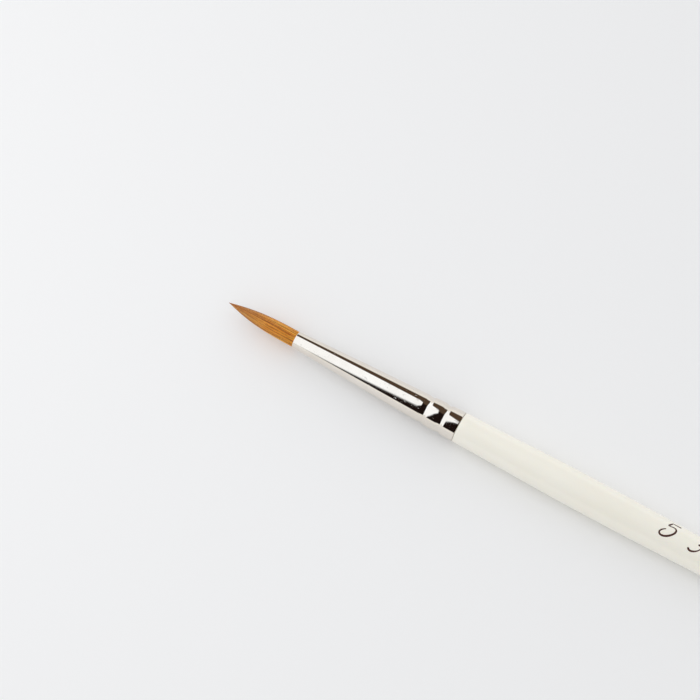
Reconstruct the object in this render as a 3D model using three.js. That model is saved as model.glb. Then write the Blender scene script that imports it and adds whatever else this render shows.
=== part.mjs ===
// A fine detail brush, size 5: a round, pointed hair head in a seamless plated ferrule,
// crimped twice onto a turned and lacquered wooden handle. Millimetres, +Z up.
//
// The brush is drawn upright, as it stands in a lathe: +Y runs along its axis, from the
// point of the head to the tail, with height 0 at the ferrule's mouth. The last group lays
// it down, so that it runs along +X and rests on the lowest facet of the handle's belly.

import * as THREE from "three";

// ---- driving dimensions ------------------------------------------------------------------

const FACETS = 24; // sides of every turned piece, with one facet of the belly on the table
const FIT_GAP = 0.02; // between turned pieces that are glued or pressed together
const END_GAP = 0.05; // between pieces that meet end to end

const HEAD_LENGTH = 18.2; // hair outside the ferrule
const HEAD_RADIUS = 1.9;
const HEAD_POINT_POWER = 2.9; // how late the head draws in towards its point
const HEAD_TIP_POWER = 1.1; // how fine the last millimetre is

const FERRULE_LENGTH = 43;
const FERRULE_WALL = 0.2;
const MOUTH_RADIUS = 2.0;
const FERRULE_END_RADIUS = 3.69;
const FERRULE_BOW = 0.07; // how far the taper swells at its middle
const CRIMPS = [34.75, 39.1]; // heights of the two rolled grooves
const CRIMP_DEPTH = 0.22;
const CRIMP_HALF_WIDTH = 1.1;
const BEAD_CROWN = 0.07; // how far the metal swells between the grooves

const HANDLE_LENGTH = 142; // handle outside the ferrule
const HANDLE_FRONT_RADIUS = 3.7;
const BELLY_RADIUS = 4.15;
const BELLY_START = 29; // all measured from the ferrule's end
const BELLY_END = 37;
const TAIL_RADIUS = 1.95;
const TAIL_ROUND = 2.2; // length of the rounded end
const TAIL_FLAT_RADIUS = 0.9; // where the handle was parted off
const TAPER_POWER = 1.4;
const COAT = 0.15; // lacquer
const EDGE_BREAK = 0.12;

const TENON_LENGTH = 19;
const GLUE_FILM = 0.08;

const PIVOT_OUT = 1.75; // the head bends about a point this far outside the mouth
const PIVOT_BALL = 1.65; // radius of the head's round base
const SOCKET_RADIUS = 1.75; // radius of the hollow that the base turns in
const COLLAR_OUT = 0.5; // hair root that shows outside the mouth
const ROOT_DEPTH = 12.5; // hair inside the ferrule
const ROOT_END_RADIUS = 1.95;
const TIE_FROM = 10.0; // the waist where the thread is tied
const TIE_TO = 11.5;
const TIE_WAIST = 1.68;
const THREAD_RADIUS = 0.11;
const THREAD_TURNS = 4;
const THREAD_PITCH = 0.26;
const RESIN_FROM = 8;
const RESIN_TO = 17;
const RESIN_BORE = 2.08;

const MARK_THICKNESS = 0.04; // foil of the printed marks
const MARK_LIFT = 0.02;
const THICK_STROKE = 0.5;
const THIN_STROKE = 0.2;
const NUMERAL_AT = 52.6; // middle of the size number, from the ferrule's end
const CURL_AT = 59.8;
const MARK_LEAN = 0.57;
const MARK_TOP = 2.1;
const BOWL_HALF_WIDTH = 1.42;
const BOWL_HALF_HEIGHT = 1.54;
const BOWL_MIDDLE = -0.6;
const BOWL_POINTS = 24;
const MARKS_TURN = 0.27; // how far round the marks sit from the top, in radians

// ---- materials ---------------------------------------------------------------------------

const finish = (color, roughness, metalness = 0) =>
  new THREE.MeshStandardMaterial({ color, roughness, metalness });

const wood = finish(0xc9a877, 0.7);
const lacquer = finish(0xece9dc, 0.3);
const nickel = finish(0xd9d6d0, 0.12, 1);
const hair = finish(0xbe823c, 0.6);
const resin = finish(0x5a3a1c, 0.4);
const glue = finish(0xd9cfae, 0.5);
const cotton = finish(0xe6e1d3, 0.9);
const print = finish(0x321914, 0.5);

// ---- outlines ----------------------------------------------------------------------------

const point = (radius, height) => new THREE.Vector2(radius, height);
const steps = (count) => Array.from({ length: count + 1 }, (_, i) => i / count);
const between = (from, to, share) => from + (to - from) * share;

// How far a rolled groove has sunk at a height: a raised cosine about each groove's middle.
function crimpSink(height) {
  let sink = 0;
  for (const middle of CRIMPS) {
    const away = Math.abs(height - middle) / CRIMP_HALF_WIDTH;
    if (away < 1) sink += (CRIMP_DEPTH * (1 + Math.cos(Math.PI * away))) / 2;
  }
  return sink;
}

// Outside of the ferrule: a slightly bowed taper, which swells between the two grooves.
function ferruleRadius(height) {
  const share = height / FERRULE_LENGTH;
  const taper = between(MOUTH_RADIUS, FERRULE_END_RADIUS, share);
  const bow = FERRULE_BOW * Math.sin(Math.PI * share);
  const intoBead = (height - CRIMPS[0]) / (CRIMPS[1] - CRIMPS[0]);
  const crown = BEAD_CROWN * Math.sin(Math.PI * THREE.MathUtils.clamp(intoBead, 0, 1));
  return taper + bow + crown - crimpSink(height);
}

const boreRadius = (height) => ferruleRadius(height) - FERRULE_WALL;

// Heights at which the bow and the grooves need a station, from one height to another.
function ferruleStations(from, to) {
  const firstGroove = CRIMPS[0] - CRIMP_HALF_WIDTH;
  const bow = steps(6).map((s) => s * firstGroove);
  const shares = [-0.6, -0.3, 0, 0.3, 0.6, 1];
  const around = CRIMPS.flatMap((middle) => shares.map((s) => middle + s * CRIMP_HALF_WIDTH));
  const beadMiddle = (CRIMPS[0] + CRIMPS[1]) / 2;
  const inside = [...bow, ...around, beadMiddle].filter((h) => h > from && h < to);
  return [from, ...inside.sort((a, b) => a - b), to];
}

// Outside of the lacquered handle at a distance behind the ferrule.
function handleRadius(behind) {
  if (behind <= BELLY_END) {
    const swell = THREE.MathUtils.smoothstep(behind, 0, BELLY_START);
    return between(HANDLE_FRONT_RADIUS, BELLY_RADIUS, swell);
  }
  const share = (behind - BELLY_END) / (HANDLE_LENGTH - TAIL_ROUND - BELLY_END);
  return between(BELLY_RADIUS, TAIL_RADIUS, share ** TAPER_POWER);
}

// The handle's outline from front to tail, drawn inwards by a coat's thickness.
function handleOutline(inset) {
  const front = FERRULE_LENGTH + END_GAP;
  const taperEnd = HANDLE_LENGTH - TAIL_ROUND;
  const swell = steps(5).map((s) => between(1, BELLY_START, s));
  const taper = steps(9).map((s) => between(BELLY_END, taperEnd, s));
  const stations = [...swell, ...taper].map((behind) =>
    point(handleRadius(behind) - inset, FERRULE_LENGTH + behind),
  );
  // the rounded end is a quarter of an ellipse that stops at the parting flat
  const round = steps(3).slice(1).map((s) => {
    const angle = (s * Math.PI) / 2;
    const radius = TAIL_FLAT_RADIUS + (TAIL_RADIUS - TAIL_FLAT_RADIUS) * Math.cos(angle);
    const reach = (TAIL_ROUND - inset) * Math.sin(angle);
    return point(radius - inset * Math.cos(angle), FERRULE_LENGTH + taperEnd + reach);
  });
  const start = point(HANDLE_FRONT_RADIUS - EDGE_BREAK - inset, front);
  return [start, ...stations, ...round];
}

// The outside of the head at a distance from its point.
function headRadius(fromTip) {
  const full = 1 - (1 - fromTip / HEAD_LENGTH) ** HEAD_POINT_POWER;
  return HEAD_RADIUS * full ** HEAD_TIP_POWER;
}

// ---- turned pieces -----------------------------------------------------------------------

// Every turned piece has the same facets at the same angles, so nested ones never cross. An
// outline gives the radius across the flats, which touch the round piece that they stand for.
const CORNER = 1 / Math.cos(Math.PI / FACETS);

function turned(name, outline, material) {
  const corners = outline.map(({ x, y }) => point(x * CORNER, y));
  const mesh = new THREE.Mesh(
    new THREE.LatheGeometry(corners, FACETS, Math.PI / FACETS, 2 * Math.PI),
    material,
  );
  mesh.name = name;
  return mesh;
}

const axisPoint = (height) => point(0, height);

// Seamless tube of plated brass: up the outside, down the bore, and closed at the mouth.
function makeFerrule() {
  const stations = ferruleStations(EDGE_BREAK, FERRULE_LENGTH - EDGE_BREAK);
  const outside = stations.map((h) => point(ferruleRadius(h), h));
  const bore = [0, ...stations.slice(1, -1), FERRULE_LENGTH]
    .map((h) => point(boreRadius(h), h))
    .reverse();
  const mouth = point(MOUTH_RADIUS - EDGE_BREAK / 2, 0);
  const end = point(FERRULE_END_RADIUS - EDGE_BREAK / 2, FERRULE_LENGTH);
  return turned("ferrule", [mouth, ...outside, end, ...bore, mouth], nickel);
}

const tenonStart = FERRULE_LENGTH - TENON_LENGTH;
const tenonRadius = (height) => boreRadius(height) - GLUE_FILM - 2 * FIT_GAP;

// Turned hardwood: a tenon in the ferrule, pressed in by the grooves, and the handle's core.
function makeHandleCore() {
  const tenon = ferruleStations(tenonStart, FERRULE_LENGTH).map((h) => point(tenonRadius(h), h));
  const shoulder = point(tenonRadius(FERRULE_LENGTH), FERRULE_LENGTH + END_GAP);
  const body = handleOutline(COAT + FIT_GAP);
  const tail = body.at(-1);
  const outline = [axisPoint(tenonStart), ...tenon, shoulder, ...body, axisPoint(tail.y)];
  return turned("handle_core", outline, wood);
}

// The coat is a thin shell over the core, open at the front where the tenon comes out.
function makeLacquer() {
  const outside = handleOutline(0);
  const inside = handleOutline(COAT).reverse();
  const outline = [...inside, ...outside];
  outline.unshift(axisPoint(inside[0].y));
  outline.push(axisPoint(outside.at(-1).y));
  return turned("handle_lacquer", outline, lacquer);
}

// Film of glue that fills the fit between tenon and bore.
function makeTenonGlue() {
  const stations = ferruleStations(tenonStart + 0.5, FERRULE_LENGTH - 0.2);
  const outside = stations.map((h) => point(boreRadius(h) - FIT_GAP, h));
  const inside = stations.map((h) => point(tenonRadius(h) + FIT_GAP, h)).reverse();
  return turned("tenon_glue", [...outside, ...inside, outside[0]], glue);
}

// The packed end of the hair, tied in a waist; its front is hollowed for the head's base.
function makeHairRoot() {
  const collarRadius = HEAD_RADIUS - FIT_GAP;
  const mouthRadius = boreRadius(0) - FIT_GAP;
  const rimFromPivot = PIVOT_OUT - COLLAR_OUT;
  const rimAngle = Math.acos(rimFromPivot / SOCKET_RADIUS);
  const socket = steps(4).map((s) => {
    const angle = s * rimAngle;
    return point(SOCKET_RADIUS * Math.sin(angle), SOCKET_RADIUS * Math.cos(angle) - PIVOT_OUT);
  });
  const outside = [
    point(collarRadius, -COLLAR_OUT),
    point(collarRadius, -3 * END_GAP),
    point(mouthRadius, -END_GAP),
    point(mouthRadius, END_GAP),
    point(ROOT_END_RADIUS, TIE_FROM - 1),
    point(ROOT_END_RADIUS, TIE_FROM - 0.3),
    point(TIE_WAIST, TIE_FROM),
    point(TIE_WAIST, TIE_TO),
    point(ROOT_END_RADIUS, ROOT_DEPTH - 0.3),
    point(ROOT_END_RADIUS, ROOT_DEPTH),
  ];
  return turned("hair_root", [...socket, ...outside, axisPoint(ROOT_DEPTH)], hair);
}

// Cast resin that grips the tied root from behind and fills the bore.
function makeRootResin() {
  const outline = [
    axisPoint(ROOT_DEPTH + END_GAP),
    point(RESIN_BORE, ROOT_DEPTH + END_GAP),
    point(RESIN_BORE, RESIN_FROM),
    point(boreRadius(RESIN_FROM) - FIT_GAP, RESIN_FROM),
    point(boreRadius(RESIN_TO) - FIT_GAP, RESIN_TO),
    axisPoint(RESIN_TO),
  ];
  return turned("root_resin", outline, resin);
}

// The head as one closed solid, with a ball-shaped base about the point it bends at.
function makeHairHead() {
  const shares = [0.015, 0.04, 0.08, 0.13, 0.19, 0.26, 0.34, 0.43, 0.54, 0.68, 0.82];
  const flank = shares.map((s) => point(headRadius(s * HEAD_LENGTH), (s - 1) * HEAD_LENGTH));
  const ball = steps(5).map((s) => {
    const angle = (s * Math.PI) / 2;
    return point(PIVOT_BALL * Math.cos(angle), PIVOT_BALL * Math.sin(angle) - PIVOT_OUT);
  });
  ball[ball.length - 1].x = 0;
  return turned("hair_head", [axisPoint(-HEAD_LENGTH), ...flank, ...ball], hair);
}

// ---- thread ------------------------------------------------------------------------------

// The route of the tie: a few close turns round the root's waist.
class TieRoute extends THREE.Curve {
  getPoint(share, target = new THREE.Vector3()) {
    const turn = 2 * Math.PI * THREAD_TURNS * share;
    const radius = TIE_WAIST + THREAD_RADIUS + 3 * FIT_GAP;
    const tied = THREAD_TURNS * THREAD_PITCH;
    const height = (TIE_FROM + TIE_TO - tied) / 2 + tied * share;
    return target.set(radius * Math.sin(turn), height, radius * Math.cos(turn));
  }
}

function makeThread() {
  const section = new THREE.Shape();
  section.absarc(0, 0, THREAD_RADIUS, 0, 2 * Math.PI);
  const geometry = new THREE.ExtrudeGeometry(section, {
    extrudePath: new TieRoute(),
    steps: 24 * THREAD_TURNS,
    curveSegments: 3,
  });
  const mesh = new THREE.Mesh(geometry, cotton);
  mesh.name = "binding_thread";
  return mesh;
}

// ---- printed marks -----------------------------------------------------------------------

// A foil stroke: a thin bar bent along a flat route and then wrapped round the handle. It is
// thin at its ends and thick between them, as a pen draws it, and it leans towards the tail.
// On the flat, x runs towards the tail and y runs up the mark, both in millimetres.
function makeMark(name, route, pieces, at) {
  const strip = new THREE.BoxGeometry(1, 1, MARK_THICKNESS, pieces, 1, 1);
  const place = strip.getAttribute("position");
  const surface = handleRadius(at) * CORNER + MARK_LIFT + MARK_THICKNESS / 2;
  for (let i = 0; i < place.count; i++) {
    const share = place.getX(i) + 0.5;
    const middle = route.getPointAt(share);
    const along = route.getTangentAt(share);
    const slanted = flat(along.x + MARK_LEAN * along.y, along.y).normalize();
    const aside = place.getY(i) * between(THIN_STROKE, THICK_STROKE, Math.sin(Math.PI * share));
    const flatX = middle.x + MARK_LEAN * middle.y - slanted.y * aside;
    const flatY = middle.y + slanted.x * aside;
    const turn = MARKS_TURN + flatY / surface;
    const out = surface + place.getZ(i);
    place.setXYZ(
      i,
      -out * Math.sin(turn),
      FERRULE_LENGTH + at + flatX,
      out * Math.cos(turn),
    );
  }
  const mesh = new THREE.Mesh(strip, print);
  mesh.name = name;
  return mesh;
}

const flat = (x, y) => new THREE.Vector2(x, y);

// The round part that both marks share. It turns from one angle to another, given in half
// turns, and over its last part it winds in by a share of its size.
function windingStroke(fromTurn, toTurn, windsFrom, winding) {
  const points = [];
  for (let i = 0; i <= BOWL_POINTS; i++) {
    const share = i / BOWL_POINTS;
    const size = 1 - winding * THREE.MathUtils.smoothstep(share, windsFrom, 1);
    const turn = between(fromTurn, toTurn, share) * Math.PI;
    const x = BOWL_HALF_WIDTH * size * Math.cos(turn);
    points.push(flat(x, BOWL_MIDDLE + BOWL_HALF_HEIGHT * size * Math.sin(turn)));
  }
  return new THREE.SplineCurve(points);
}

// A plain size number, one stroke: flag, corner, stem and a bowl that winds in.
function numeralRoute() {
  const bowl = windingStroke(0.75, -1.12, 0.8, 0.45);
  const stemFoot = bowl.getPoint(0);
  const stemHead = flat(stemFoot.x, MARK_TOP - 0.3);
  const flagFoot = flat(stemHead.x + 0.3, MARK_TOP);
  const route = new THREE.CurvePath();
  route.add(new THREE.LineCurve(flat(0.85, MARK_TOP), flagFoot));
  route.add(new THREE.QuadraticBezierCurve(flagFoot, flat(stemHead.x, MARK_TOP), stemHead));
  route.add(new THREE.LineCurve(stemHead, stemFoot));
  route.add(bowl);
  return route;
}

// A small ornament, one stroke: it runs along the bottom and winds in to its end.
function curlRoute() {
  return windingStroke(-0.76, 0.6, 0.15, 0.62);
}

// ---- assembly ----------------------------------------------------------------------------

const upright = new THREE.Group();
upright.add(
  makeHandleCore(),
  makeLacquer(),
  makeTenonGlue(),
  makeFerrule(),
  makeHairRoot(),
  makeThread(),
  makeRootResin(),
  makeHairHead(),
  makeMark("size_numeral", numeralRoute(), 48, NUMERAL_AT),
  makeMark("size_curl", curlRoute(), 32, CURL_AT),
);

const overallLength = HEAD_LENGTH + FERRULE_LENGTH + HANDLE_LENGTH;
upright.rotation.z = -Math.PI / 2;
upright.position.set(
  HEAD_LENGTH - overallLength / 2,
  0,
  BELLY_RADIUS,
);

const brush = new THREE.Group();
brush.add(upright);

export default brush;
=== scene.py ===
# %% [markdown]
# # A fine detail brush
#
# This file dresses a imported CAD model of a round, pointed hair brush. The CAD model holds the
# sizes, the inside of the ferrule and the one joint, which lets the hair bend. Blender makes
# what the eye sees: a mirror-bright crimped ferrule, a lacquered handle, two printed marks and
# a head of several hundred separate hairs. Everything is in metres, in the CAD model's frame:
# the brush lies along X with its point towards -X, and the table is at height zero.

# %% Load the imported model
import math
import random

import bmesh
import bpy
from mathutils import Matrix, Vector, noise


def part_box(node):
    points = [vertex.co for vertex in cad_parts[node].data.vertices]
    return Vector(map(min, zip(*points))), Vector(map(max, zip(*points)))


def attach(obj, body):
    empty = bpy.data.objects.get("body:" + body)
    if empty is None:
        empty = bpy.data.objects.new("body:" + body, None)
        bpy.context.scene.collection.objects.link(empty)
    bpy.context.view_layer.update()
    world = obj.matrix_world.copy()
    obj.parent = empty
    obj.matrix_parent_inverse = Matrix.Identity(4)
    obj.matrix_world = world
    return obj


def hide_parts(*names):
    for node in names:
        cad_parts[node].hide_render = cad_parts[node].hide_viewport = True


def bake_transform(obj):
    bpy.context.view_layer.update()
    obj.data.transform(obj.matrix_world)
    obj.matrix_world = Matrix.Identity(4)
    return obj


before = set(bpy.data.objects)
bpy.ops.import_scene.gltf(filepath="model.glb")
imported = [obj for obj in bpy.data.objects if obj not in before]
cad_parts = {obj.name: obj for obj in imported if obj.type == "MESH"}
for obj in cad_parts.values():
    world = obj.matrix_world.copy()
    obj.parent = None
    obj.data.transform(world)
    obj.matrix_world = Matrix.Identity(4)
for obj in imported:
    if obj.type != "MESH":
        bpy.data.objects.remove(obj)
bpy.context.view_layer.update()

# %% [markdown]
# ## Where things are
#
# Every place comes from the CAD model's own boxes, so the fine pieces land on the plain ones
# without any fitting. The handle is round, so half its height is its widest radius, and that is
# also how high the brush's centre line runs above the table.

# %% Places along the brush
MM = 0.001
ferrule_low, ferrule_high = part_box("ferrule")
handle_low, handle_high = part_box("handle_lacquer")
MOUTH_X = ferrule_low.x
FERRULE_END_X = ferrule_high.x
TAIL_X = handle_high.x
TIP_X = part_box("hair_head")[0].x
AXIS_Z = (handle_low.z + handle_high.z) / 2
BELLY_RADIUS = (handle_high.z - handle_low.z) / 2
HEAD_LENGTH = MOUTH_X - TIP_X
FERRULE_LENGTH = FERRULE_END_X - MOUTH_X
HANDLE_LENGTH = TAIL_X - FERRULE_END_X
print("head, ferrule, handle in mm:",
      [round(length / MM, 2) for length in (HEAD_LENGTH, FERRULE_LENGTH, HANDLE_LENGTH)])

# %% [markdown]
# ## A lathe
#
# Ferrule and handle are turned pieces. On a lathe, one outline makes the whole shape, and
# Blender's spin operator does the same: a chain of edges goes once round the centre line. The
# seam and the points on the centre line are merged, so that the piece is closed, and the faces
# are then made to point outwards.

# %% Spin an outline into a piece
SIDES = 128
SHARP = math.radians(40)   # edges that bend more than this stay sharp


def new_piece(name, mesh):
    """Puts a finished mesh in the scene, with its place in its mesh."""
    piece = bpy.data.objects.new(name, mesh)
    bpy.context.scene.collection.objects.link(piece)
    return piece


def spun(name, outline, closes=False):
    """Turns an outline of (place along X, radius) points into a round piece."""
    shape = bmesh.new()
    points = [shape.verts.new((x, 0, AXIS_Z + radius)) for x, radius in outline]
    following = points[1:] + points[:1] if closes else points[1:]
    for first, second in zip(points, following):
        shape.edges.new((first, second))
    bmesh.ops.spin(
        shape, geom=shape.verts[:] + shape.edges[:], cent=(0, 0, AXIS_Z), axis=(1, 0, 0),
        angle=2 * math.pi, steps=SIDES, use_merge=True,
    )
    bmesh.ops.remove_doubles(shape, verts=shape.verts, dist=1e-7)
    bmesh.ops.recalc_face_normals(shape, faces=shape.faces)
    for face in shape.faces:
        face.smooth = True
    mesh = bpy.data.meshes.new(name)
    shape.to_mesh(mesh)
    shape.free()
    mesh.set_sharp_from_angle(angle=SHARP)
    print(name, "has", len(mesh.polygons), "faces")
    return new_piece(name, mesh)


# %% [markdown]
# ## Three helpers for outlines
#
# An outline written as a formula is easy to change and always smooth. It needs evenly spaced
# shares of a length, a mix of two values by such a share, and a share that starts and ends
# softly, for a swelling that flows into its neighbours.

# %% Shares and mixes
def shares(count):
    """Evenly spaced values from 0 to 1."""
    return [i / count for i in range(count + 1)]


def mixed(start, end, share):
    """The value at a share of the way from start to end."""
    return start + (end - start) * share


def smooth_share(share):
    """A share, held between 0 and 1, that leaves 0 and reaches 1 softly."""
    share = min(max(share, 0), 1)
    return share * share * (3 - 2 * share)


print("shares", shares(4), "soften to", [round(smooth_share(share), 2) for share in shares(4)])

# %% [markdown]
# ## A small kit for materials
#
# Each finish is built from nodes. These helpers only save typing: one makes a material, and
# one adds a node, with its settings and with its sockets filled or wired. The others put
# together what every finish here uses: colours along a ramp, noise drawn out along one axis,
# and bump. Noise reads Object coordinates, which stay fixed to a piece whatever the camera does.

# %% Material helpers
def new_material(name):
    """A material with its node tree and its main shader."""
    material = bpy.data.materials.new(name)
    material.use_nodes = True
    tree = material.node_tree
    return material, tree, tree.nodes["Principled BSDF"]


def add(tree, kind, sockets=None, **settings):
    """A node with its settings, and its sockets filled with a value or wired to another node."""
    node = tree.nodes.new("ShaderNode" + kind)
    for key, value in settings.items():
        setattr(node, key, value)
    for key, value in (sockets or {}).items():
        if isinstance(value, bpy.types.NodeSocket):
            tree.links.new(value, node.inputs[key])
        else:
            node.inputs[key].default_value = value
    return node


def math_node(tree, operation, *values, clamp=False):
    """The result of one sum on numbers or sockets."""
    return add(tree, "Math", dict(enumerate(values)), operation=operation,
               use_clamp=clamp).outputs[0]


def colour_ramp(tree, factor, stops):
    """Colours along a ramp, given as (place, (red, green, blue)) stops."""
    node = add(tree, "ValToRGB", {"Fac": factor})
    elements = node.color_ramp.elements
    while len(elements) < len(stops):
        elements.new(0.5)
    for element, (place, colour) in zip(elements, stops):
        element.position = place
        element.color = (*colour, 1)
    return node.outputs["Color"]


def blended(tree, factor, first, second, blend_type="MIX"):
    """Two colours put together, each given as a colour or as a socket."""
    sockets = {"Factor": factor, "A": first, "B": second}
    node = add(tree, "Mix", sockets, data_type="RGBA", blend_type=blend_type)
    return node.outputs["Result"]


def stretched_noise(tree, stretch, scale, detail=3.0):
    """Noise on Object coordinates, drawn out along the axes where stretch is small."""
    place = add(tree, "TexCoord").outputs["Object"]
    mapping = add(tree, "Mapping", {"Vector": place, "Scale": stretch})
    texture = {"Vector": mapping.outputs[0], "Scale": scale, "Detail": detail}
    return add(tree, "TexNoise", texture).outputs["Fac"]


def bump(tree, height, strength, distance):
    """Normals that follow a height, for the shader's Normal socket."""
    sockets = {"Height": height, "Strength": strength, "Distance": distance}
    return add(tree, "Bump", sockets).outputs["Normal"]


# %% Two-toned finishes, and giving a piece its finish
def two_tone(name, stretch, scale, detail, dark, light, roughness, relief):
    """A finish whose noise mixes a dark and a light tone, and is its relief as well."""
    material, tree, shader = new_material(name)
    grain = stretched_noise(tree, stretch, scale, detail)
    tone = colour_ramp(tree, grain, [(0.3, dark), (0.7, light)])
    tree.links.new(tone, shader.inputs["Base Color"])
    shader.inputs["Roughness"].default_value = roughness
    tree.links.new(bump(tree, grain, *relief), shader.inputs["Normal"])
    return material


def finish_piece(piece, material):
    """Gives a piece one material."""
    piece.data.materials.clear()
    piece.data.materials.append(material)
    print(piece.name, "is finished in", material.name)
    return piece


# %% [markdown]
# ## The ferrule
#
# A ferrule is drawn from one piece of brass tube, so it has no seam, and it is plated with
# nickel and polished. It tapers from the handle to the mouth, with the faintest bow. Two rolls
# press grooves into it, and the wood beneath holds it there. Because the metal is a mirror,
# its outline matters more than anything else: each swelling bends the studio's reflection.
# The outline is therefore a formula with many steps, and not a few straight lines.

# %% Ferrule outline
WALL = 0.2 * MM
MOUTH_RADIUS = 2.0 * MM
FERRULE_END_RADIUS = 3.69 * MM
BOW = 0.07 * MM
CRIMPS = (34.75 * MM, 39.1 * MM)
CRIMP_DEPTH = 0.22 * MM
CRIMP_LEAD = 1.35 * MM   # from where the metal starts to sink to the bottom of the groove
CRIMP_RISE = 0.85 * MM   # from the bottom of the groove to the bead behind it
CROWNS = (0.07 * MM, 0.022 * MM)   # swelling between the grooves, and behind the last one
RIM = 0.07 * MM          # rounding of both ends
NEXT_TO_RIM = 0.03 * MM  # the first, short step behind the rounding
RIM_STEPS = 4
TAPER_STEPS = 40
GROOVE_STEPS = 70


def crimp_sink(behind_mouth):
    """How far the rolled grooves have sunk at a distance behind the mouth."""
    sink = 0
    for middle in CRIMPS:
        away = behind_mouth - middle
        reach = CRIMP_LEAD if away < 0 else CRIMP_RISE
        if abs(away) < reach:
            sink += CRIMP_DEPTH * (1 + math.cos(math.pi * away / reach)) / 2
    return sink


def bead_crown(behind_mouth):
    """How far the metal swells behind each groove, up to the next one or the end."""
    ends = (*CRIMPS, FERRULE_LENGTH)
    for start, end, crown in zip(ends, ends[1:], CROWNS):
        if start < behind_mouth < end:
            return crown * math.sin(math.pi * (behind_mouth - start) / (end - start))
    return 0


def ferrule_radius(behind_mouth):
    """Outside of the ferrule: a bowed taper, with its beads and its grooves."""
    share = behind_mouth / FERRULE_LENGTH
    taper = mixed(MOUTH_RADIUS, FERRULE_END_RADIUS, share) + BOW * math.sin(math.pi * share)
    return taper + bead_crown(behind_mouth) - crimp_sink(behind_mouth)


def quarter_round(x, radius, away_x, away_radius):
    """Points of a quarter circle from the end face round to the outside."""
    return [
        (x + away_x * (1 - math.cos(share * math.pi / 2)),
         radius + away_radius * math.sin(share * math.pi / 2))
        for share in shares(RIM_STEPS)
    ]


print("ferrule radius at mouth, grooves and end in mm:",
      [round(ferrule_radius(behind) / MM, 2) for behind in (0, *CRIMPS, FERRULE_LENGTH)])


# %% Make the ferrule
def make_ferrule():
    """The tube: round the mouth, along the outside, round the end and back along the bore."""
    # the first step is short, so that the rim's rounding doesn't bend the reflection
    first_groove = CRIMPS[0] - CRIMP_LEAD
    steps = [RIM]
    steps += [mixed(RIM + NEXT_TO_RIM, first_groove, share) for share in shares(TAPER_STEPS)]
    steps += [
        mixed(first_groove, FERRULE_LENGTH - RIM, share) for share in shares(GROOVE_STEPS)[1:]
    ]
    outside = [(MOUTH_X + behind, ferrule_radius(behind)) for behind in steps]
    bore = [(x, radius - WALL) for x, radius in reversed(outside)]
    mouth_rim = quarter_round(MOUTH_X, MOUTH_RADIUS - RIM, RIM, RIM)[:-1]
    end_rim = quarter_round(FERRULE_END_X, FERRULE_END_RADIUS - RIM, -RIM, RIM)[-2::-1]
    bore_ends = [(FERRULE_END_X, bore[0][1]), *bore[1:-1], (MOUTH_X, bore[-1][1])]
    return spun("ferrule_tube", mouth_rim + outside + end_rim + bore_ends, closes=True)


# %% [markdown]
# ### Polished nickel
#
# Nickel is a mirror with a faint warm tint. On a metal the tint is the base colour, and Metallic
# is 1. A perfect mirror looks false, so noise that is drawn out round the tube gives it the
# hairlines that polishing leaves, and a few specks where handling has dulled the plate. Both
# go into the roughness first, because wear on a mirror shows as blur before it shows as colour.

# %% Polished nickel
def nickel_plate():
    material, tree, shader = new_material("polished nickel plate")
    shader.inputs["Metallic"].default_value = 1.0
    clouds = stretched_noise(tree, stretch=(1, 1, 1), scale=260)
    tone = colour_ramp(tree, clouds, [(0.3, (0.80, 0.745, 0.675)), (0.7, (0.86, 0.81, 0.745))])
    tree.links.new(tone, shader.inputs["Base Color"])
    # polishing leaves hairlines that run round the tube, which only just dull the mirror
    hairlines = stretched_noise(tree, stretch=(1, 0.04, 0.04), scale=9000)
    dull = add(tree, "MapRange", {"Value": hairlines, "To Min": 0.03, "To Max": 0.08})
    # handling leaves a few specks that are duller still
    specks = stretched_noise(tree, stretch=(0.5, 1, 1), scale=2400, detail=1.0)
    speck = add(tree, "MapRange", {"Value": specks, "From Min": 0.68, "From Max": 0.74,
                                   "To Max": 0.22})
    rough = math_node(tree, "ADD", dull.outputs[0], speck.outputs[0])
    tree.links.new(rough, shader.inputs["Roughness"])
    relief = bump(tree, hairlines, strength=0.02, distance=2e-6)
    tree.links.new(relief, shader.inputs["Normal"])
    return material


ferrule = finish_piece(make_ferrule(), nickel_plate())
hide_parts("ferrule")
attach(ferrule, "brush")

# %% [markdown]
# ## The handle
#
# The handle is turned from hardwood: flush with the ferrule, swelling to a belly where the
# fingers rest, and then a long taper to a small round tail. It is dipped in ivory lacquer many
# times, so no grain shows and every edge is soft. The coat is modelled as a thin shell that
# closes round the tail and is open where the tenon goes into the ferrule, as the real one is.

# %% Handle outline
HANDLE_FRONT_RADIUS = 3.7 * MM
BELLY_START = 29 * MM    # the belly is level between these, behind the ferrule
BELLY_END = 37 * MM
TAIL_RADIUS = 1.95 * MM
TAIL_FLAT = 0.9 * MM     # radius of the flat where the handle was parted off
TAIL_ROUND = 2.2 * MM    # length of the rounded end
TAPER_POWER = 1.4
COAT = 0.15 * MM         # thickness of the lacquer
JOINT_GAP = 0.07 * MM    # fine dark line between ferrule and lacquer
EDGE_ROUND = 0.20 * MM   # rounding of the lacquer's front edge
TAPER_END = HANDLE_LENGTH - TAIL_ROUND
SWELL_STEPS = 24
LONG_TAPER_STEPS = 48
TAIL_STEPS = 10


def handle_radius(behind_ferrule):
    """Outside of the handle at a distance behind the ferrule."""
    if behind_ferrule <= BELLY_END:
        return mixed(HANDLE_FRONT_RADIUS, BELLY_RADIUS, smooth_share(behind_ferrule / BELLY_START))
    share = (behind_ferrule - BELLY_END) / (TAPER_END - BELLY_END)
    return mixed(BELLY_RADIUS, TAIL_RADIUS, share ** TAPER_POWER)


print("handle radius at front, belly and taper's end in mm:",
      [round(handle_radius(behind) / MM, 2) for behind in (0, BELLY_END, TAPER_END)])


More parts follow.
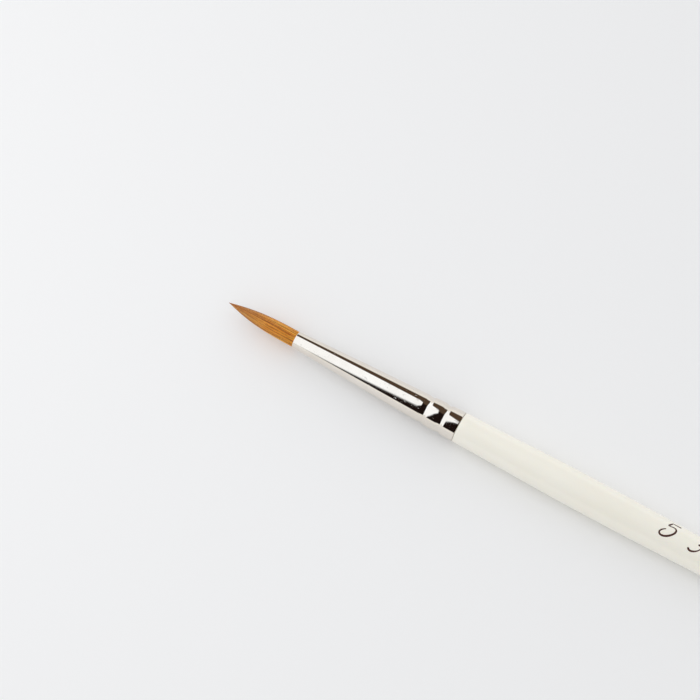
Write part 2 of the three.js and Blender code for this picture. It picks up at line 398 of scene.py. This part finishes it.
# %% Make the handle
def make_handle():
    """The coat: back along its inside, round the front edge, along the outside to the tail."""
    front = quarter_round(FERRULE_END_X + JOINT_GAP, HANDLE_FRONT_RADIUS - EDGE_ROUND,
                          EDGE_ROUND, EDGE_ROUND)[:-1]
    steps = [mixed(JOINT_GAP + EDGE_ROUND, BELLY_START, share) for share in shares(SWELL_STEPS)]
    steps += [mixed(BELLY_END, TAPER_END, share) for share in shares(LONG_TAPER_STEPS)]
    outside = [(FERRULE_END_X + behind, handle_radius(behind)) for behind in steps]
    inside = [(x, radius - COAT) for x, radius in reversed(outside)]
    for share in shares(TAIL_STEPS)[1:]:
        angle = share * math.pi / 2
        x = FERRULE_END_X + TAPER_END + TAIL_ROUND * math.sin(angle)
        outside.append((x, mixed(TAIL_FLAT, TAIL_RADIUS, math.cos(angle))))
    tail_inside = [(TAIL_X - COAT, 0), (TAIL_X - COAT, TAIL_FLAT)]
    front_inside = (FERRULE_END_X + JOINT_GAP, inside[-1][1])
    outline = [*tail_inside, *inside, front_inside, *front, *outside, (TAIL_X, 0)]
    return spun("lacquered_handle", outline)


# %% [markdown]
# ### Ivory lacquer
#
# Lacquer is a clear gloss over a pale, slightly see-through ground. The Principled shader has a
# part for each: a little subsurface scattering softens the ground, and a thin, not quite sharp
# coat lies over it. A dipped coat is smooth but never flat, so very fine noise gives it the skin
# of an orange, and broad noise lets its ivory drift.

# %% Ivory lacquer
def ivory_lacquer():
    material, tree, shader = new_material("ivory lacquer")
    shader.inputs["Roughness"].default_value = 0.3
    shader.inputs["Coat Weight"].default_value = 0.35
    shader.inputs["Coat Roughness"].default_value = 0.16
    shader.inputs["Subsurface Weight"].default_value = 0.08
    shader.inputs["Subsurface Radius"].default_value = (0.0012, 0.0009, 0.0006)
    # the dips are never quite even, so the ivory drifts a little along and round the handle
    drift = stretched_noise(tree, stretch=(0.35, 1, 1), scale=170, detail=2.0)
    ivory = colour_ramp(tree, drift, [(0.3, (0.965, 0.93, 0.82)), (0.7, (0.985, 0.955, 0.855))])
    tree.links.new(ivory, shader.inputs["Base Color"])
    orange_peel = stretched_noise(tree, stretch=(0.6, 1, 1), scale=1500)
    relief = bump(tree, orange_peel, strength=0.06, distance=1e-5)
    tree.links.new(relief, shader.inputs["Normal"])
    return material


handle = finish_piece(make_handle(), ivory_lacquer())
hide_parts("handle_lacquer")
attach(handle, "brush")

# %% [markdown]
# ## The printed marks
#
# A foil press leaves a size number on the handle, and behind it a small curl. Both lean like
# handwriting, and their strokes swell and thin as a pen's would. For each stroke a thin grid is
# bent along its route, wrapped round the handle, and given the foil's thickness.

# %% Routes of the two marks
NUMERAL_AT = 52.6 * MM   # middle of each mark, behind the ferrule
CURL_AT = 59.8 * MM
# the marks are drawn flat: x runs towards the tail and y up the mark, both in millimetres
MARK_TOP = 2.1
STEM_X = -1.14
STEM_FOOT = 0.7
FLAG_END_X = 0.85
BOWL_HALF_WIDTH = 1.42
BOWL_HALF_HEIGHT = 1.54
BOWL_MIDDLE = -0.6


def winding_stroke(from_turn, to_turn, winds_from, winding, swell):
    """The round part of a mark, between two angles in half turns, which winds in at its end."""
    stroke = []
    for share in shares(80):
        turn = mixed(from_turn, to_turn, share) * math.pi
        size = 1 - winding * smooth_share((share - winds_from) / (1 - winds_from))
        x = BOWL_HALF_WIDTH * size * math.cos(turn)
        y = BOWL_HALF_HEIGHT * size * math.sin(turn) + BOWL_MIDDLE
        stroke.append((Vector((x, y)), swell(share)))
    return stroke


def numeral_strokes():
    """A plain size number in two strokes: flag with stem, and a bowl that curls in."""
    head = Vector((STEM_X, MARK_TOP))
    foot = Vector((STEM_X, STEM_FOOT))
    flag_end = Vector((FLAG_END_X, MARK_TOP))
    flag = [(flag_end.lerp(head, share), 0.85 - 0.75 * share) for share in shares(14)]
    stem = [(head.lerp(foot, share), share ** 0.5) for share in shares(10)]
    bowl = winding_stroke(0.7, -1.12, winds_from=0.8, winding=0.45,
                          swell=lambda share: math.sin(math.pi * share) ** 0.8)
    return [flag[:-1] + stem, bowl]


def curl_strokes():
    """A small ornament: one stroke that runs along the bottom and winds in to its end."""
    return [winding_stroke(-0.76, 0.6, winds_from=0.15, winding=0.62,
                           swell=lambda share: 1 - 0.75 * math.sin(math.pi * share) ** 4)]


print("strokes:", len(numeral_strokes()), "in the number,", len(curl_strokes()), "in the curl")


# %% Bend strips of foil along the strokes
FOIL = 0.02 * MM
THICK_STROKE = 0.47 * MM
THIN_STROKE = 0.18 * MM
ROUND_POINTS = 3.4       # how many points of a stroke its rounded end takes
LEAN = 0.57              # how far both marks lean towards the tail
MARKS_TURN = 0.27        # how far round from the top the marks sit, in radians


def bend_strip(shape, stroke, at):
    """Adds one grid that follows a stroke, given as (point, share of the full width)."""
    count = len(stroke) - 1
    route = [Vector((point.x + LEAN * point.y, point.y)) for point, _ in stroke]
    strip = bmesh.ops.create_grid(shape, x_segments=count, y_segments=2, size=0.5)
    for vert in strip["verts"]:
        i = round((vert.co.x + 0.5) * count)
        along = (route[min(i + 1, count)] - route[max(i - 1, 0)]).normalized()
        # the last points narrow along a quarter circle, which rounds off both ends
        from_end = min((min(i, count - i) + 0.4) / ROUND_POINTS, 1)
        rounding = math.sqrt(1 - (1 - from_end) ** 2)
        offset = vert.co.y * mixed(THIN_STROKE, THICK_STROKE, stroke[i][1]) * rounding
        flat_x = route[i].x * MM - along.y * offset
        flat_y = route[i].y * MM + along.x * offset
        radius = handle_radius(at + flat_x) + FOIL
        turn = MARKS_TURN + flat_y / radius
        vert.co = (FERRULE_END_X + at + flat_x, radius * math.sin(turn),
                   AXIS_Z + radius * math.cos(turn))


def make_mark(name, strokes, at):
    """One mark: its strips of foil, at a distance behind the ferrule."""
    shape = bmesh.new()
    for stroke in strokes:
        bend_strip(shape, stroke, at)
    bmesh.ops.solidify(shape, geom=shape.faces[:], thickness=FOIL)
    bmesh.ops.recalc_face_normals(shape, faces=shape.faces)
    mesh = bpy.data.meshes.new(name)
    shape.to_mesh(mesh)
    shape.free()
    print(name, "has", len(mesh.polygons), "faces")
    return new_piece(name, mesh)


# %% [markdown]
# ### Dark brown foil
#
# The foil is a dull, dark brown film, a little lighter where it was pressed thin. Fine noise
# mixes the two tones, and lifts the film by a few thousandths of a millimetre.

# %% Print both marks
foil = two_tone("dark brown foil", stretch=(1, 1, 1), scale=2600, detail=4.0,
                dark=(0.042, 0.009, 0.006), light=(0.103, 0.029, 0.019),
                roughness=0.5, relief=(0.15, 5e-6))
for name, strokes, at, node in (
    ("printed_number", numeral_strokes(), NUMERAL_AT, "size_numeral"),
    ("printed_curl", curl_strokes(), CURL_AT, "size_curl"),
):
    mark = finish_piece(make_mark(name, strokes, at), foil)
    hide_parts(node)
    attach(mark, "brush")

# %% [markdown]
# ## The hair
#
# The head of a round brush is a bundle of fine hairs, packed in the ferrule and shaped so that
# they swell to a belly and close to one point. A smooth cone would look like wax, so every
# hair that can be seen is its own thin tube. Each is a curve of a few points with a round bevel
# that thins towards its end. The curves are made a mesh together, because a mesh can bend
# across the brush's joint. A solid core under the hairs keeps the bundle from being seen
# through, and it runs back into the ferrule as the real root does.

# %% The shape that the hairs follow
HEAD_RADIUS = 1.9 * MM
POINT_POWER = 2.9        # how late the head draws in towards its point
TIP_POWER = 1.1          # how fine the last millimetre is
ROOT_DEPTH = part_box("hair_root")[1].x - MOUTH_X
ROOT_RADIUS = MOUTH_RADIUS - WALL - 0.03 * MM
FLARE = 0.35 * MM        # distance over which the hairs swell out of the mouth
TIP_LEAN = 0.22 * MM     # how far the point leans to the far side


def head_radius(out):
    """Radius of the bundle at a distance outside the mouth, or inside it where negative."""
    if out <= 0:
        return ROOT_RADIUS
    towards_point = min(out / HEAD_LENGTH, 1)
    full = HEAD_RADIUS * (1 - towards_point ** POINT_POWER) ** TIP_POWER
    return mixed(ROOT_RADIUS, full, smooth_share(out / FLARE))


def centre_line(out):
    """The bundle's middle: straight out of the mouth, with the point leaning a little."""
    lean = TIP_LEAN * max(out / HEAD_LENGTH, 0) ** 3
    return Vector((MOUTH_X - out, lean, AXIS_Z))


print("bundle radius at mouth, middle and near its point in mm:",
      [round(head_radius(share * HEAD_LENGTH) / MM, 2) for share in (0, 0.5, 0.95)])


# %% The core of the bundle
CORE_SHARE = 0.93        # share of the bundle's radius and of its length that the core fills
CORE_POINT = 0.95        # where the core comes to its own point


def make_hair_core():
    """A solid bundle from the root's end in the ferrule to just short of the hairs' point."""
    inside = [-ROOT_DEPTH, -FLARE, 0]
    outside = [HEAD_LENGTH * share for share in shares(26)[1:] if share < CORE_SHARE]
    outline = [(MOUTH_X + ROOT_DEPTH, 0)]
    outline += [(MOUTH_X - out, CORE_SHARE * head_radius(out)) for out in inside + outside]
    outline.append((MOUTH_X - CORE_POINT * HEAD_LENGTH, 0))
    core = spun("hair_core", outline)
    for vert in core.data.vertices:
        vert.co.y += centre_line(MOUTH_X - vert.co.x).y
    return core


# %% The path of one hair
HAIR_SEED = 7
HAIR_THICKNESS = 0.085 * MM
HAIR_POINTS = 13
HAIR_START = 1.2 * MM    # how far inside the mouth the hairs begin
GOLDEN_TURN = 0.618034   # a step round the bundle that never lands two hairs in one place
LOCK_DEPTH = 0.045       # how deep the valleys between locks are, as a share of the radius


def hair_angle(number):
    """Where round the bundle a hair stands."""
    return 2 * math.pi * (number * GOLDEN_TURN % 1)


def round_noise(angle, size, along):
    """Noise that closes round the bundle, and is finer where size is larger."""
    return noise.noise(Vector((size * math.cos(angle), size * math.sin(angle), along)))


def hair_points(angle, depth, end, rng):
    """One hair's points and thicknesses, at a share of the bundle's radius, up to its end."""
    drift = rng.gauss(0, 0.05)
    wave = rng.uniform(0, 10)
    made = []
    for share in shares(HAIR_POINTS - 1):
        out = mixed(-HAIR_START, end, share)
        turn = angle + drift * share + 0.02 * math.sin(wave + 5 * share)
        # hairs cling together in locks, which leaves shallow valleys between the locks
        lock = LOCK_DEPTH * round_noise(turn, 3.2, 0.9 * share) * smooth_share(share * 4)
        radius = head_radius(out) * depth * (1 + lock)
        place = centre_line(out)
        place += Vector((0, radius * math.sin(turn), radius * math.cos(turn)))
        thick = HAIR_THICKNESS * (1 - 0.4 * share ** 3) / 2
        made.append((place, thick))
    return made


# %% Make every hair
OUTER_HAIRS = 620
INNER_HAIRS = 180
OUTER_DEPTHS = (0.955, 1.0)   # where they stand, as shares of the bundle's radius
INNER_DEPTHS = (0.3, 0.95)
OUTER_SHORTENING = 0.11  # how much shorter than the head they usually are, as a share of it
INNER_SHORTENING = 0.012
SHORTEST = 0.6           # no hair is shorter than this share of the head


def make_hairs():
    """All hairs in one mesh. Outer hairs end at many lengths, inner ones near the point."""
    rng = random.Random(HAIR_SEED)
    curve = bpy.data.curves.new("hairs", "CURVE")
    curve.dimensions = "3D"
    curve.bevel_depth = 1.0
    curve.bevel_resolution = 0
    curve.use_fill_caps = True
    for number in range(OUTER_HAIRS + INNER_HAIRS):
        outer = number < OUTER_HAIRS
        depth = rng.uniform(*(OUTER_DEPTHS if outer else INNER_DEPTHS))
        short = abs(rng.gauss(0, OUTER_SHORTENING if outer else INNER_SHORTENING))
        end = HEAD_LENGTH * max(1 - short, SHORTEST)
        spline = curve.splines.new("POLY")
        spline.points.add(HAIR_POINTS - 1)
        made = hair_points(hair_angle(number), depth, end, rng)
        for point, (place, thick) in zip(spline.points, made):
            point.co = (*place, 1)
            point.radius = thick
    strands = new_piece("hairs", curve)
    evaluated = strands.evaluated_get(bpy.context.evaluated_depsgraph_get())
    mesh = bpy.data.meshes.new_from_object(evaluated)
    bpy.data.objects.remove(strands)
    print("hairs have", len(mesh.polygons), "faces")
    return new_piece("hair_strands", mesh)


# %% [markdown]
# ### Tone of each hair
#
# Real hair isn't one colour. Noise on Object coordinates would cut across the hairs, so each
# hair keeps two numbers on its own mesh instead: its tone, and how far along the head a point
# is. The tone varies slowly round the head, so that neighbours look like locks, with a little
# chance on top.

# %% Give each hair a tone and a length coordinate
OWN_TONE = 0.13          # how much chance, wide locks and fine locks each count for
WIDE_LOCKS = 0.6
FINE_LOCKS = 1.3


def mark_hairs(piece, hair_count):
    """Stores the tone and the place along the head at every point of every hair."""
    rng = random.Random(HAIR_SEED + 1)
    mesh = piece.data
    per_hair = len(mesh.vertices) // hair_count
    tones, alongs = [], []
    for number in range(hair_count):
        own = rng.gauss(0, OWN_TONE)
        angle = hair_angle(number)
        for vert in mesh.vertices[number * per_hair:(number + 1) * per_hair]:
            along = min(max((MOUTH_X - vert.co.x) / HEAD_LENGTH, 0), 1)
            wide = WIDE_LOCKS * round_noise(angle, 4, along)
            fine = FINE_LOCKS * round_noise(angle, 9, 2 * along)
            tones.append(min(max(0.5 + wide + fine + own, 0), 1))
            alongs.append(along)
    for name, values in (("tone", tones), ("along", alongs)):
        layer = mesh.attributes.new(name, "FLOAT", "POINT")
        layer.data.foreach_set("value", values)
    print("one hair has", per_hair, "points")


# %% [markdown]
# ### Golden brown hair
#
# One ramp turns the tone into a colour from dark red-brown to pale gold. A second one, along
# the head, darkens the hair towards its point, as it grows on the animal. The two are
# multiplied. A warm sheen stands for the light that fine, rounded hairs scatter at their edges.

# %% Golden brown hair
def golden_hair():
    material, tree, shader = new_material("golden brown hair")
    tone = add(tree, "Attribute", attribute_name="tone").outputs["Fac"]
    along = add(tree, "Attribute", attribute_name="along").outputs["Fac"]
    own = colour_ramp(tree, tone, [
        (0.0, (0.22, 0.048, 0.003)), (0.3, (0.50, 0.145, 0.008)),
        (0.6, (0.81, 0.325, 0.026)), (1.0, (1.0, 0.62, 0.14)),
    ])
    towards_tip = colour_ramp(tree, along, [
        (0.0, (1.0, 0.91, 0.53)), (0.45, (0.96, 0.87, 0.78)), (0.65, (0.73, 0.62, 0.66)),
        (0.82, (0.67, 0.53, 0.61)), (1.0, (0.58, 0.44, 0.47)),
    ])
    colour = blended(tree, 1.0, own, towards_tip, blend_type="MULTIPLY")
    tree.links.new(colour, shader.inputs["Base Color"])
    shader.inputs["Roughness"].default_value = 0.42
    shader.inputs["Specular IOR Level"].default_value = 0.45
    shader.inputs["Sheen Weight"].default_value = 0.2
    shader.inputs["Sheen Roughness"].default_value = 0.4
    shader.inputs["Sheen Tint"].default_value = (1.0, 0.66, 0.32, 1)
    return material


# %% [markdown]
# ### The head's pieces
#
# The joint turns the head about a point just outside the mouth. A head that simply rode on the
# turning body would tear out of the ferrule. Here both hair pieces only have their placement baked
# into their meshes, and neither is tied to the brush or to the head.

# %% Make the head
hairs = finish_piece(make_hairs(), golden_hair())
mark_hairs(hairs, OUTER_HAIRS + INNER_HAIRS)
packed_hair = two_tone("packed brown hair", stretch=(0.03, 1, 1), scale=5200, detail=4.0,
                       dark=(0.20, 0.055, 0.005), light=(0.46, 0.18, 0.02),
                       roughness=0.6, relief=(0.5, 4e-5))
hair_core = finish_piece(make_hair_core(), packed_hair)
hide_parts("hair_head")
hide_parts("hair_root")
for piece in (hairs, hair_core):
    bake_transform(piece)

# %% [markdown]
# ## Inside the ferrule
#
# The tenon, its glue, the tied root and the resin plug are never seen on a whole brush, but a
# cutaway shows them. Their CAD shapes are right, so each only gets a finish of its own.

# %% Finishes of the hidden pieces
turned_wood = two_tone("turned beech", stretch=(0.05, 1, 1), scale=1400, detail=5.0,
                       dark=(0.46, 0.29, 0.15), light=(0.66, 0.47, 0.28),
                       roughness=0.65, relief=(0.2, 3e-5))
cast_resin = two_tone("amber resin", stretch=(1, 1, 1), scale=600, detail=3.0,
                      dark=(0.16, 0.07, 0.02), light=(0.27, 0.13, 0.04),
                      roughness=0.3, relief=(0.1, 1e-5))
wood_glue = two_tone("dried wood glue", stretch=(1, 1, 1), scale=500, detail=3.0,
                     dark=(0.60, 0.52, 0.34), light=(0.74, 0.67, 0.48),
                     roughness=0.45, relief=(0.15, 1e-5))
cotton_thread = two_tone("waxed cotton thread", stretch=(3, 1, 1), scale=3000, detail=3.0,
                         dark=(0.56, 0.52, 0.43), light=(0.84, 0.81, 0.73),
                         roughness=0.8, relief=(0.4, 3e-5))
for node, material, slot in (
    ("handle_core", turned_wood, "wood"),
    ("root_resin", cast_resin, "resin"),
    ("tenon_glue", wood_glue, "glue"),
    ("binding_thread", cotton_thread, "thread"),
):
    finish_piece(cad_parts[node], material)

# %% [markdown]
# ## The table
#
# The brush lies on a plain white table. It is one large square, far wider than what the camera
# sees, so that no edge of it shows.

# %% White table
HALF_TABLE = 2.0         # metres


def make_table():
    shape = bmesh.new()
    bmesh.ops.create_grid(shape, x_segments=1, y_segments=1, size=HALF_TABLE)
    mesh = bpy.data.meshes.new("table_top")
    shape.to_mesh(mesh)
    shape.free()
    table = new_piece("table_top", mesh)
    material, tree, shader = new_material("white table")
    shader.inputs["Base Color"].default_value = (0.93, 0.932, 0.934, 1)
    shader.inputs["Roughness"].default_value = 0.7
    shader.inputs["Specular IOR Level"].default_value = 0.2
    mesh.materials.append(material)
    print(table.name, "is", round(table.dimensions.x, 1), "m wide")


make_table()

# %% [markdown]
# ## The studio
#
# A mirror shows its whole surroundings, so the studio is as much a part of the ferrule's look
# as its plating is. Real panels could stand round the brush, but then each change to a
# reflection would change the shadows too. The world's shader can tell the two apart: its Light
# Path node says which rays come from a mirror. Those see a drawn room, and all others get
# soft, even light.
#
# The room is drawn in two angles. Across is measured from straight up towards the far side,
# and along from that plane towards the tail. One wide panel hangs beyond the point, and where
# its near edge runs decides where the ferrule's bright band ends. Low down on both sides are
# pale walls, and all the rest is dark.

# %% Soft steps between light and dark
def above(tree, value, edge, soft):
    """1 where value is above an edge, 0 below it, with a soft step between."""
    beyond = math_node(tree, "SUBTRACT", value, edge)
    sockets = {"Value": beyond, "From Min": -soft, "From Max": soft}
    return add(tree, "MapRange", sockets, interpolation_type="SMOOTHSTEP").outputs[0]


# %% The panel beyond the point
# corners of the panel's near edge, in degrees across and along
PANEL_CORNERS = ((-79, -18), (-76, -15.2), (-45, -12.6), (-20, -10.4), (-9, -8.7), (0, -7.0),
                 (18, -7.4), (28, -11.0), (40, -19.0))
PANEL_REACH = 60.0       # how far beyond the point, in degrees, the edge may be drawn
PANEL_SOFT = 0.8         # how soft the edge is, in degrees


def panel_share(tree, across, along):
    """1 on the panel and 0 beside it."""
    place = add(tree, "MapRange", {"Value": across, "From Min": -90.0, "From Max": 90.0})
    outline = add(tree, "FloatCurve", {"Value": place.outputs[0]})
    curve = outline.mapping.curves[0]
    # the curve runs from 0 to 1 both ways: from -90 to 90 degrees across, and up to no reach
    corners = [((degrees_across + 90) / 180, 1 + degrees_along / PANEL_REACH)
               for degrees_across, degrees_along in PANEL_CORNERS]
    curve.points[0].location = (0.0, corners[0][1])
    curve.points[1].location = (1.0, corners[-1][1])
    for corner in corners:
        curve.points.new(*corner).handle_type = "VECTOR"
    outline.mapping.update()
    edge = add(tree, "MapRange", {"Value": outline.outputs[0], "To Min": -PANEL_REACH,
                                  "To Max": 0.0})
    beside = above(tree, along, edge.outputs[0], PANEL_SOFT)
    return math_node(tree, "SUBTRACT", 1.0, beside)


print("the panel's edge has", len(PANEL_CORNERS), "corners")

# %% The room that the ferrule mirrors
NEAR_WALL = -73.5        # degrees across: the near wall ends here
FAR_ROOM = 14.0          # the dark of the room is a little browner from here
FAR_WALL = 65.0          # the far wall begins here
BLACK = (0.012, 0.006, 0.005, 1)
BROWN = (0.085, 0.055, 0.036, 1)
PANEL_WHITE = (1.14, 1.19, 1.25, 1)
WALL_WHITE = (0.93, 0.93, 0.91, 1)


def mirrored_room(tree, axes):
    """Colour of the drawn room in each direction."""
    across = math_node(tree, "DEGREES", math_node(tree, "ARCTAN2", axes["Y"], axes["Z"]))
    along = math_node(tree, "DEGREES", math_node(tree, "ARCSINE", axes["X"]))
    dark = blended(tree, above(tree, across, FAR_ROOM, soft=4.0), BLACK, BROWN)
    lit = blended(tree, panel_share(tree, across, along), dark, PANEL_WHITE)
    near = math_node(tree, "SUBTRACT", 1.0, above(tree, across, NEAR_WALL, soft=2.5))
    far = above(tree, across, FAR_WALL, soft=4.0)
    walls = math_node(tree, "ADD", far, near, clamp=True)
    return blended(tree, walls, lit, WALL_WHITE)


# %% A world for mirrors, for surfaces and for the camera
NEAR_LIGHT = 0.655       # strength of the even light from the near side
FAR_LIGHT = 0.95         # and from the far side
EVEN_WHITE = (0.985, 0.99, 1.0, 1)
BACKDROP = (0.86, 0.865, 0.87, 1)


def make_world():
    """Joins the drawn room, the even light and a plain backdrop by the kind of ray."""
    world = bpy.data.worlds.new("studio")
    bpy.context.scene.world = world
    world.use_nodes = True
    tree = world.node_tree
    tree.nodes.clear()
    direction = add(tree, "TexCoord").outputs["Generated"]
    axes = add(tree, "SeparateXYZ", {"Vector": direction}).outputs
    mirror = add(tree, "Background", {"Color": mirrored_room(tree, axes), "Strength": 1.0})
    strength = add(tree, "MapRange", {"Value": axes["Y"], "From Min": -1.0,
                                      "To Min": NEAR_LIGHT, "To Max": FAR_LIGHT})
    even = add(tree, "Background", {"Color": EVEN_WHITE, "Strength": strength.outputs[0]})
    seen = add(tree, "Background", {"Color": BACKDROP, "Strength": 1.0})
    rays = add(tree, "LightPath").outputs
    glossy = add(tree, "MixShader", {0: rays["Is Glossy Ray"], 1: even.outputs[0],
                                     2: mirror.outputs[0]})
    camera = add(tree, "MixShader", {0: rays["Is Camera Ray"], 1: glossy.outputs[0],
                                     2: seen.outputs[0]})
    add(tree, "OutputWorld", {"Surface": camera.outputs[0]})
    print("the world has", len(tree.nodes), "nodes")


make_world()

# %% [markdown]
# ## A soft lamp
#
# Even light alone leaves no direction, and the brush would seem to float. One square area lamp,
# beyond the point, casts a soft shadow. Its spread is narrowed, as by a hood, so that it doesn't
# leave a bright patch on the table right below it. Mirrors don't see it, because the drawn
# panel stands for it there.

# %% Soft lamp beyond the point
def aim(thing, target):
    """Turns a lamp or the camera to look at a point."""
    thing.rotation_euler = (target - thing.location).to_track_quat("-Z", "Y").to_euler()


LAMP_PLACE = Vector((-0.36, -0.06, 0.30))
LAMP_AIM = Vector((MOUTH_X, 0, 0))
soft_light = bpy.data.lights.new("soft lamp", "AREA")
soft_light.size = 0.30
soft_light.spread = math.radians(130)
soft_light.energy = 0.205
soft_lamp = bpy.data.objects.new("soft lamp", soft_light)
bpy.context.scene.collection.objects.link(soft_lamp)
soft_lamp.location = LAMP_PLACE
aim(soft_lamp, LAMP_AIM)
soft_lamp.visible_glossy = False
print("lamp's distance from the mouth in m:", round((LAMP_PLACE - LAMP_AIM).length, 2))

# %% [markdown]
# ## The camera
#
# A long lens looks steeply down, turned so that the brush runs from the upper left to the
# lower right, and aimed a little behind the ferrule's mouth and beyond the brush.

# %% Camera
AZIMUTH = math.radians(29.48)
ELEVATION = math.radians(71)
DISTANCE = 0.4501
BEHIND_MOUTH = 12.18 * MM
BEYOND_BRUSH = 3.92 * MM
target = Vector((MOUTH_X + BEHIND_MOUTH, BEYOND_BRUSH, AXIS_Z))
towards_camera = Vector((
    math.sin(AZIMUTH) * math.cos(ELEVATION),
    -math.cos(AZIMUTH) * math.cos(ELEVATION),
    math.sin(ELEVATION),
))
lens = bpy.data.cameras.new("camera")
lens.lens = 100
lens.clip_start = 0.01
lens.clip_end = 20
camera = bpy.data.objects.new("camera", lens)
bpy.context.scene.collection.objects.link(camera)
camera.location = target + towards_camera * DISTANCE
aim(camera, target)
bpy.context.scene.camera = camera
bpy.context.scene.view_settings.view_transform = "Standard"
print("camera at", [round(value, 3) for value in camera.location])
